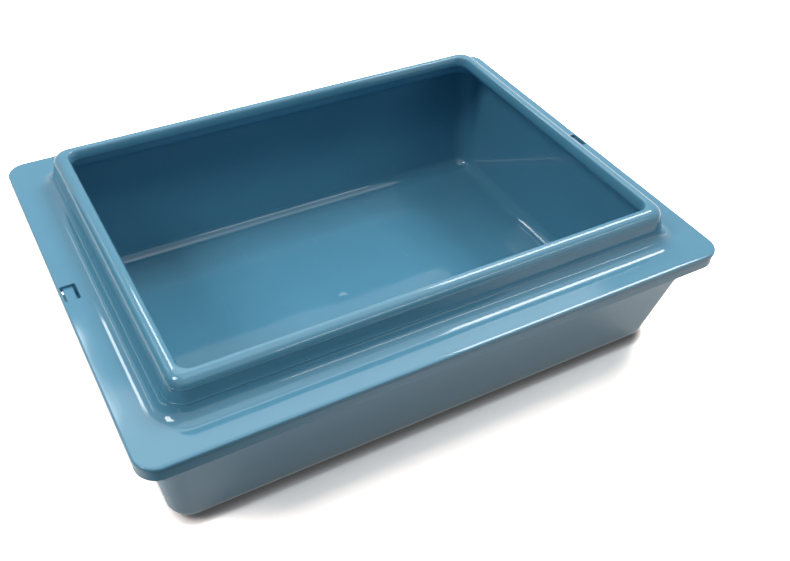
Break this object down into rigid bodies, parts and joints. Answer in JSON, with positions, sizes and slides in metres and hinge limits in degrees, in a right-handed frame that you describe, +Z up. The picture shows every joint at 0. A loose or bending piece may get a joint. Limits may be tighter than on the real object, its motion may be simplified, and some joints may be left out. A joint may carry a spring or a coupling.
{
  "type": "litter tray",
  "caption": "Deep rectangular litter tray: a sloping-walled pan with a clip-on splash rim whose collar leans inwards and rolls over into the mouth.",
  "frame": {"origin": "centre of the tray's footprint, on the surface that it stands on", "axes": "+X along the long side, +Y along the short side towards the back, +Z up"},
  "size_m": [0.445, 0.34, 0.13],
  "materials": {
    "pan_polypropylene": "moulded polypropylene, satin gloss, grey blue",
    "rim_polypropylene": "moulded polypropylene, glossy, grey blue"
  },
  "bodies": {
    "base_pan": {"base_pan": "pan_polypropylene"},
    "rim": {"rim": "rim_polypropylene"},
    "snap_hook_left": {"snap_hook_left": "rim_polypropylene"},
    "snap_hook_right": {"snap_hook_right": "rim_polypropylene"}
  },
  "joints": [
    {"name": "rim_lift", "type": "slide", "parent": "base_pan", "child": "rim", "axis": [0, 0, 1], "range_m": [0, 0.12]},
    {"name": "hook_left_flex", "type": "hinge", "parent": "rim", "child": "snap_hook_left", "pos_m": [-0.2089, 0, 0.1013], "axis": [0, -1, 0], "range_deg": [0, 16], "stiffness_Nm_per_rad": 0.3},
    {"name": "hook_right_flex", "type": "hinge", "parent": "rim", "child": "snap_hook_right", "pos_m": [0.2089, 0, 0.1013], "axis": [0, 1, 0], "range_deg": [0, 16], "stiffness_Nm_per_rad": 0.3}
  ]
}
